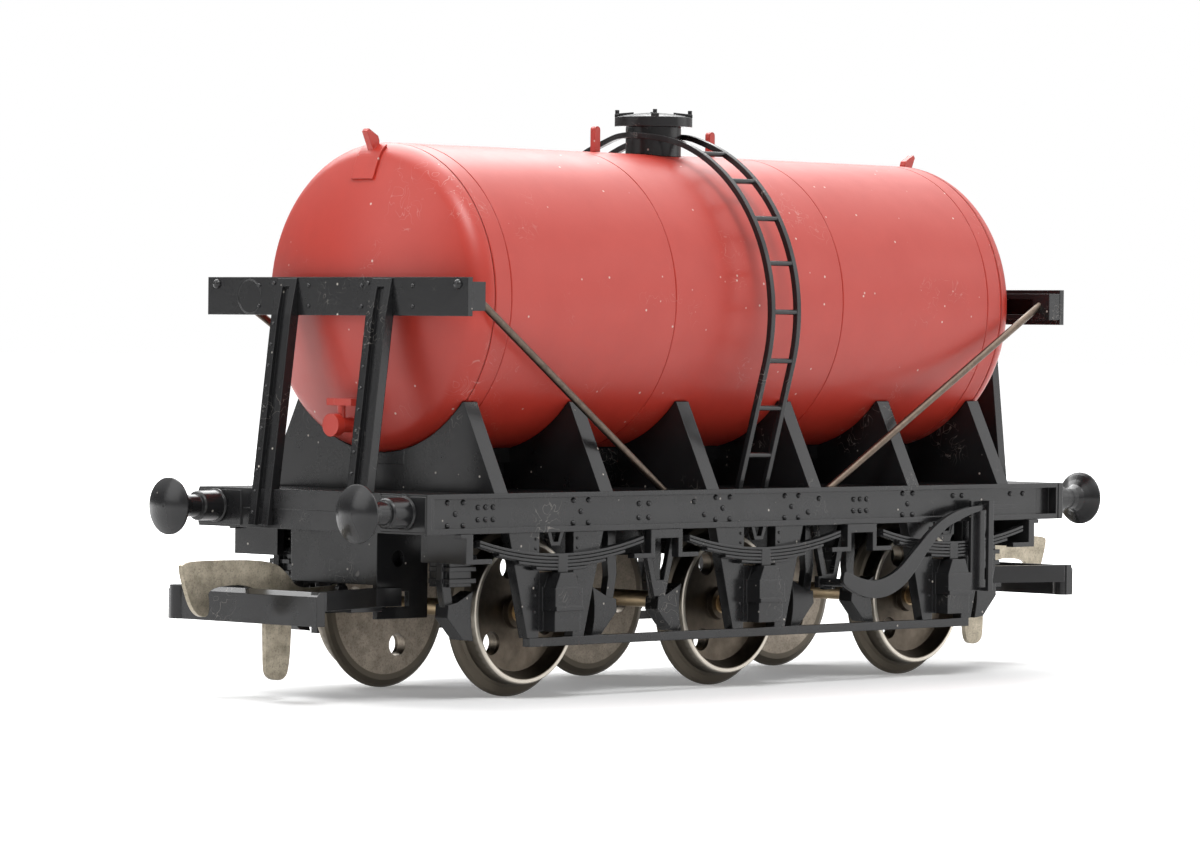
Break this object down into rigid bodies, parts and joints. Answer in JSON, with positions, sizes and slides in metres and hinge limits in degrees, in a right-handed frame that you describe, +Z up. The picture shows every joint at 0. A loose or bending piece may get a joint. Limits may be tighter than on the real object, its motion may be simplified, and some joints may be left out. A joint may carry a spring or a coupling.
{
  "type": "six-wheel milk tank wagon scale model",
  "caption": "Small scale model of a six-wheel tank wagon for rails: round tank on saddles, flat deck, sprung axleboxes, buffers, ladder and hook couplings.",
  "frame": {"origin": "centre of the wagon, at the lowest point of the wheel flanges", "axes": "+X along the wagon to its front, +Y to its left side, +Z up"},
  "size_m": [0.1138, 0.0324, 0.0514],
  "materials": {
    "tank_paint": "satin red moulded plastic",
    "frame_plastic": "satin black moulded plastic",
    "wheel_steel": "turned and plated, dulled by running",
    "hook_metal": "stamped sheet, dull nickel",
    "rod_metal": "blackened wire"
  },
  "bodies": {
    "wagon": {"tank_barrel": "tank_paint", "tank_end_front": "tank_paint", "tank_end_rear": "tank_paint", "lifting_lugs": "tank_paint", "manhole_neck": "frame_plastic", "manhole_lid": "frame_plastic", "lid_clamps": "frame_plastic", "ladder_left": "frame_plastic", "ladder_right": "frame_plastic", "ladder_top": "frame_plastic", "drain_valve_front": "tank_paint", "drain_valve_rear": "tank_paint", "saddle_1": "frame_plastic", "saddle_2": "frame_plastic", "saddle_3": "frame_plastic", "saddle_4": "frame_plastic", "saddle_5": "frame_plastic", "saddle_6": "frame_plastic", "cradle_beam": "frame_plastic", "deck": "frame_plastic", "underframe": "frame_plastic", "sole_bar_left": "frame_plastic", "sole_bar_right": "frame_plastic", "headstock_front": "frame_plastic", "headstock_rear": "frame_plastic", "buffers_front": "frame_plastic", "buffers_rear": "frame_plastic", "end_posts_front": "frame_plastic", "end_posts_rear": "frame_plastic", "end_beam_front": "frame_plastic", "end_beam_rear": "frame_plastic", "stay_rods": "rod_metal", "axleguards_left": "frame_plastic", "axleguards_right": "frame_plastic", "axleboxes_left": "frame_plastic", "axleboxes_right": "frame_plastic", "leaf_springs_left": "frame_plastic", "leaf_springs_right": "frame_plastic", "spring_shoes_left": "frame_plastic", "spring_shoes_right": "frame_plastic", "tie_bar_left": "frame_plastic", "tie_bar_right": "frame_plastic", "brake_gear_left": "frame_plastic", "brake_gear_right": "frame_plastic", "brake_lever_left": "frame_plastic", "brake_lever_right": "frame_plastic", "coupling_mount_front": "frame_plastic", "coupling_mount_rear": "frame_plastic", "coupling_bar_front": "frame_plastic", "coupling_bar_rear": "frame_plastic"},
    "wheelset_1": {"axle_1": "wheel_steel", "wheels_1": "wheel_steel"},
    "wheelset_2": {"axle_2": "wheel_steel", "wheels_2": "wheel_steel"},
    "wheelset_3": {"axle_3": "wheel_steel", "wheels_3": "wheel_steel"},
    "hook_front": {"coupling_hook_front": "hook_metal"},
    "hook_rear": {"coupling_hook_rear": "hook_metal"}
  },
  "joints": [
    {"name": "wheelset_1_spin", "type": "hinge", "parent": "wagon", "child": "wheelset_1", "pos_m": [-0.026, 0, 0.00735], "axis": [0, 1, 0], "continuous": true},
    {"name": "wheelset_2_spin", "type": "hinge", "parent": "wagon", "child": "wheelset_2", "pos_m": [0, 0, 0.00735], "axis": [0, 1, 0], "continuous": true},
    {"name": "wheelset_3_spin", "type": "hinge", "parent": "wagon", "child": "wheelset_3", "pos_m": [0.026, 0, 0.00735], "axis": [0, 1, 0], "continuous": true},
    {"name": "hook_front_lift", "type": "hinge", "parent": "wagon", "child": "hook_front", "pos_m": [0.03905, 0, 0.0091], "axis": [0, -1, 0], "range_deg": [0, 20]},
    {"name": "hook_rear_lift", "type": "hinge", "parent": "wagon", "child": "hook_rear", "pos_m": [-0.03905, 0, 0.0091], "axis": [0, 1, 0], "range_deg": [0, 20]}
  ]
}
